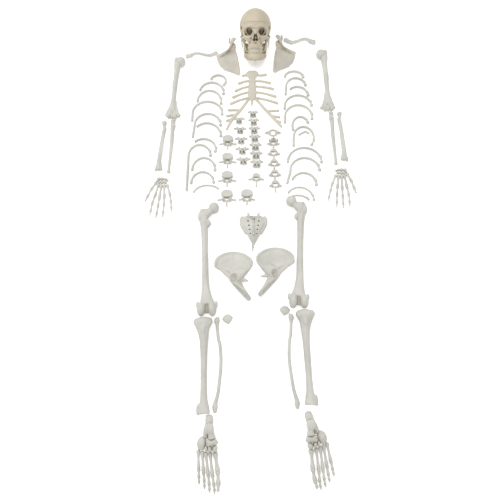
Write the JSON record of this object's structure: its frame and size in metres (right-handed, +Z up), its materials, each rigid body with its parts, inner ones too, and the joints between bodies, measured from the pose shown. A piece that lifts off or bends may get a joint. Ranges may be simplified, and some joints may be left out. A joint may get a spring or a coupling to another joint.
{
  "type": "human skeleton model",
  "caption": "Life-size teaching skeleton, taken apart and laid out flat, with a hinged jaw, a lift-off skull cap, loose long bones, ribs and vertebrae, and wired hands and feet.",
  "frame": {"origin": "on the surface that the bones lie on, at the middle of the laid-out set", "axes": "+X to the viewer's right seen from the feet end, +Y towards the head, +Z up from the surface"},
  "size_m": [0.8791, 1.9554, 0.1723],
  "materials": {
    "bone": "matt moulded ivory-grey plastic",
    "skull_bone": "matt moulded plastic, stained tan",
    "flat_bone": "matt moulded plastic, warm ivory",
    "cartilage": "matt moulded plastic, warm ivory",
    "steel": "plain steel wire and pins"
  },
  "bodies": {
    "skull": {"cranium": "skull_bone", "calvarium_pins": "steel", "jaw_springs": "steel"},
    "calvarium": {"calvarium": "skull_bone"},
    "mandible": {"mandible": "skull_bone"},
    "breastbone": {"sternum": "cartilage", "costal_cartilages": "cartilage"},
    "clavicle_right": {"clavicle_right": "bone"},
    "scapula_right": {"scapula_right": "flat_bone"},
    "clavicle_left": {"clavicle_left": "bone"},
    "scapula_left": {"scapula_left": "flat_bone"},
    "rib_right_01": {"rib_right_01": "bone"},
    "rib_right_02": {"rib_right_02": "bone"},
    "rib_right_03": {"rib_right_03": "bone"},
    "rib_right_04": {"rib_right_04": "bone"},
    "rib_right_05": {"rib_right_05": "bone"},
    "rib_right_06": {"rib_right_06": "bone"},
    "rib_right_07": {"rib_right_07": "bone"},
    "rib_right_08": {"rib_right_08": "bone"},
    "rib_right_09": {"rib_right_09": "bone"},
    "rib_right_10": {"rib_right_10": "bone"},
    "rib_right_11": {"rib_right_11": "bone"},
    "rib_right_12": {"rib_right_12": "bone"},
    "rib_left_01": {"rib_left_01": "bone"},
    "rib_left_02": {"rib_left_02": "bone"},
    "rib_left_03": {"rib_left_03": "bone"},
    "rib_left_04": {"rib_left_04": "bone"},
    "rib_left_05": {"rib_left_05": "bone"},
    "rib_left_06": {"rib_left_06": "bone"},
    "rib_left_07": {"rib_left_07": "bone"},
    "rib_left_08": {"rib_left_08": "bone"},
    "rib_left_09": {"rib_left_09": "bone"},
    "rib_left_10": {"rib_left_10": "bone"},
    "rib_left_11": {"rib_left_11": "bone"},
    "rib_left_12": {"rib_left_12": "bone"},
    "cervical_vertebrae": {"cervical_vertebrae": "bone"},
    "thoracic_vertebrae_1_5": {"thoracic_vertebrae_1_5": "bone"},
    "thoracic_vertebrae_6_12": {"thoracic_vertebrae_6_12": "bone"},
    "lumbar_vertebrae": {"lumbar_vertebrae": "bone"},
    "sacrum": {"sacrum": "bone"},
    "hip_bone_right": {"hip_bone_right": "bone"},
    "humerus_right": {"humerus_right": "bone"},
    "radius_right": {"radius_right": "bone"},
    "ulna_right": {"ulna_right": "bone"},
    "hand_right": {"hand_right": "bone"},
    "femur_right": {"femur_right": "bone"},
    "patella_right": {"patella_right": "bone"},
    "tibia_right": {"tibia_right": "bone"},
    "fibula_right": {"fibula_right": "bone"},
    "foot_right": {"foot_right": "bone"},
    "hip_bone_left": {"hip_bone_left": "bone"},
    "humerus_left": {"humerus_left": "bone"},
    "radius_left": {"radius_left": "bone"},
    "ulna_left": {"ulna_left": "bone"},
    "hand_left": {"hand_left": "bone"},
    "femur_left": {"femur_left": "bone"},
    "patella_left": {"patella_left": "bone"},
    "tibia_left": {"tibia_left": "bone"},
    "fibula_left": {"fibula_left": "bone"},
    "foot_left": {"foot_left": "bone"}
  },
  "joints": [
    {"name": "jaw_hinge", "type": "hinge", "parent": "skull", "child": "mandible", "pos_m": [0.02, 0.85752, 0.06145], "axis": [1, 0, 0], "range_deg": [0, 22], "stiffness_Nm_per_rad": 0.4, "springref_deg": -2.86, "deforming": ["jaw_springs"]},
    {"name": "calvarium_lift", "type": "slide", "parent": "skull", "child": "calvarium", "axis": [0, 0.766, 0.6428], "range_m": [0, 0.12]},
    {"name": "breastbone_lift", "type": "slide", "parent": "skull", "child": "breastbone", "axis": [0, 0, 1], "range_m": [0, 0.2]},
    {"name": "clavicle_right_lift", "type": "slide", "parent": "skull", "child": "clavicle_right", "axis": [0, 0, 1], "range_m": [0, 0.2]},
    {"name": "scapula_right_lift", "type": "slide", "parent": "skull", "child": "scapula_right", "axis": [0, 0, 1], "range_m": [0, 0.2]},
    {"name": "clavicle_left_lift", "type": "slide", "parent": "skull", "child": "clavicle_left", "axis": [0, 0, 1], "range_m": [0, 0.2]},
    {"name": "scapula_left_lift", "type": "slide", "parent": "skull", "child": "scapula_left", "axis": [0, 0, 1], "range_m": [0, 0.2]},
    {"name": "rib_right_01_lift", "type": "slide", "parent": "skull", "child": "rib_right_01", "axis": [0, 0, 1], "range_m": [0, 0.2]},
    {"name": "rib_right_02_lift", "type": "slide", "parent": "skull", "child": "rib_right_02", "axis": [0, 0, 1], "range_m": [0, 0.2]},
    {"name": "rib_right_03_lift", "type": "slide", "parent": "skull", "child": "rib_right_03", "axis": [0, 0, 1], "range_m": [0, 0.2]},
    {"name": "rib_right_04_lift", "type": "slide", "parent": "skull", "child": "rib_right_04", "axis": [0, 0, 1], "range_m": [0, 0.2]},
    {"name": "rib_right_05_lift", "type": "slide", "parent": "skull", "child": "rib_right_05", "axis": [0, 0, 1], "range_m": [0, 0.2]},
    {"name": "rib_right_06_lift", "type": "slide", "parent": "skull", "child": "rib_right_06", "axis": [0, 0, 1], "range_m": [0, 0.2]},
    {"name": "rib_right_07_lift", "type": "slide", "parent": "skull", "child": "rib_right_07", "axis": [0, 0, 1], "range_m": [0, 0.2]},
    {"name": "rib_right_08_lift", "type": "slide", "parent": "skull", "child": "rib_right_08", "axis": [0, 0, 1], "range_m": [0, 0.2]},
    {"name": "rib_right_09_lift", "type": "slide", "parent": "skull", "child": "rib_right_09", "axis": [0, 0, 1], "range_m": [0, 0.2]},
    {"name": "rib_right_10_lift", "type": "slide", "parent": "skull", "child": "rib_right_10", "axis": [0, 0, 1], "range_m": [0, 0.2]},
    {"name": "rib_right_11_lift", "type": "slide", "parent": "skull", "child": "rib_right_11", "axis": [0, 0, 1], "range_m": [0, 0.2]},
    {"name": "rib_right_12_lift", "type": "slide", "parent": "skull", "child": "rib_right_12", "axis": [0, 0, 1], "range_m": [0, 0.2]},
    {"name": "rib_left_01_lift", "type": "slide", "parent": "skull", "child": "rib_left_01", "axis": [0, 0, 1], "range_m": [0, 0.2]},
    {"name": "rib_left_02_lift", "type": "slide", "parent": "skull", "child": "rib_left_02", "axis": [0, 0, 1], "range_m": [0, 0.2]},
    {"name": "rib_left_03_lift", "type": "slide", "parent": "skull", "child": "rib_left_03", "axis": [0, 0, 1], "range_m": [0, 0.2]},
    {"name": "rib_left_04_lift", "type": "slide", "parent": "skull", "child": "rib_left_04", "axis": [0, 0, 1], "range_m": [0, 0.2]},
    {"name": "rib_left_05_lift", "type": "slide", "parent": "skull", "child": "rib_left_05", "axis": [0, 0, 1], "range_m": [0, 0.2]},
    {"name": "rib_left_06_lift", "type": "slide", "parent": "skull", "child": "rib_left_06", "axis": [0, 0, 1], "range_m": [0, 0.2]},
    {"name": "rib_left_07_lift", "type": "slide", "parent": "skull", "child": "rib_left_07", "axis": [0, 0, 1], "range_m": [0, 0.2]},
    {"name": "rib_left_08_lift", "type": "slide", "parent": "skull", "child": "rib_left_08", "axis": [0, 0, 1], "range_m": [0, 0.2]},
    {"name": "rib_left_09_lift", "type": "slide", "parent": "skull", "child": "rib_left_09", "axis": [0, 0, 1], "range_m": [0, 0.2]},
    {"name": "rib_left_10_lift", "type": "slide", "parent": "skull", "child": "rib_left_10", "axis": [0, 0, 1], "range_m": [0, 0.2]},
    {"name": "rib_left_11_lift", "type": "slide", "parent": "skull", "child": "rib_left_11", "axis": [0, 0, 1], "range_m": [0, 0.2]},
    {"name": "rib_left_12_lift", "type": "slide", "parent": "skull", "child": "rib_left_12", "axis": [0, 0, 1], "range_m": [0, 0.2]},
    {"name": "cervical_vertebrae_lift", "type": "slide", "parent": "skull", "child": "cervical_vertebrae", "axis": [0, 0, 1], "range_m": [0, 0.2]},
    {"name": "thoracic_vertebrae_1_5_lift", "type": "slide", "parent": "skull", "child": "thoracic_vertebrae_1_5", "axis": [0, 0, 1], "range_m": [0, 0.2]},
    {"name": "thoracic_vertebrae_6_12_lift", "type": "slide", "parent": "skull", "child": "thoracic_vertebrae_6_12", "axis": [0, 0, 1], "range_m": [0, 0.2]},
    {"name": "lumbar_vertebrae_lift", "type": "slide", "parent": "skull", "child": "lumbar_vertebrae", "axis": [0, 0, 1], "range_m": [0, 0.2]},
    {"name": "sacrum_lift", "type": "slide", "parent": "skull", "child": "sacrum", "axis": [0, 0, 1], "range_m": [0, 0.2]},
    {"name": "hip_bone_right_lift", "type": "slide", "parent": "skull", "child": "hip_bone_right", "axis": [0, 0, 1], "range_m": [0, 0.2]},
    {"name": "humerus_right_lift", "type": "slide", "parent": "skull", "child": "humerus_right", "axis": [0, 0, 1], "range_m": [0, 0.2]},
    {"name": "radius_right_lift", "type": "slide", "parent": "skull", "child": "radius_right", "axis": [0, 0, 1], "range_m": [0, 0.2]},
    {"name": "ulna_right_lift", "type": "slide", "parent": "skull", "child": "ulna_right", "axis": [0, 0, 1], "range_m": [0, 0.2]},
    {"name": "hand_right_lift", "type": "slide", "parent": "skull", "child": "hand_right", "axis": [0, 0, 1], "range_m": [0, 0.2]},
    {"name": "femur_right_lift", "type": "slide", "parent": "skull", "child": "femur_right", "axis": [0, 0, 1], "range_m": [0, 0.2]},
    {"name": "patella_right_lift", "type": "slide", "parent": "skull", "child": "patella_right", "axis": [0, 0, 1], "range_m": [0, 0.2]},
    {"name": "tibia_right_lift", "type": "slide", "parent": "skull", "child": "tibia_right", "axis": [0, 0, 1], "range_m": [0, 0.2]},
    {"name": "fibula_right_lift", "type": "slide", "parent": "skull", "child": "fibula_right", "axis": [0, 0, 1], "range_m": [0, 0.2]},
    {"name": "foot_right_lift", "type": "slide", "parent": "skull", "child": "foot_right", "axis": [0, 0, 1], "range_m": [0, 0.2]},
    {"name": "hip_bone_left_lift", "type": "slide", "parent": "skull", "child": "hip_bone_left", "axis": [0, 0, 1], "range_m": [0, 0.2]},
    {"name": "humerus_left_lift", "type": "slide", "parent": "skull", "child": "humerus_left", "axis": [0, 0, 1], "range_m": [0, 0.2]},
    {"name": "radius_left_lift", "type": "slide", "parent": "skull", "child": "radius_left", "axis": [0, 0, 1], "range_m": [0, 0.2]},
    {"name": "ulna_left_lift", "type": "slide", "parent": "skull", "child": "ulna_left", "axis": [0, 0, 1], "range_m": [0, 0.2]},
    {"name": "hand_left_lift", "type": "slide", "parent": "skull", "child": "hand_left", "axis": [0, 0, 1], "range_m": [0, 0.2]},
    {"name": "femur_left_lift", "type": "slide", "parent": "skull", "child": "femur_left", "axis": [0, 0, 1], "range_m": [0, 0.2]},
    {"name": "patella_left_lift", "type": "slide", "parent": "skull", "child": "patella_left", "axis": [0, 0, 1], "range_m": [0, 0.2]},
    {"name": "tibia_left_lift", "type": "slide", "parent": "skull", "child": "tibia_left", "axis": [0, 0, 1], "range_m": [0, 0.2]},
    {"name": "fibula_left_lift", "type": "slide", "parent": "skull", "child": "fibula_left", "axis": [0, 0, 1], "range_m": [0, 0.2]},
    {"name": "foot_left_lift", "type": "slide", "parent": "skull", "child": "foot_left", "axis": [0, 0, 1], "range_m": [0, 0.2]}
  ]
}
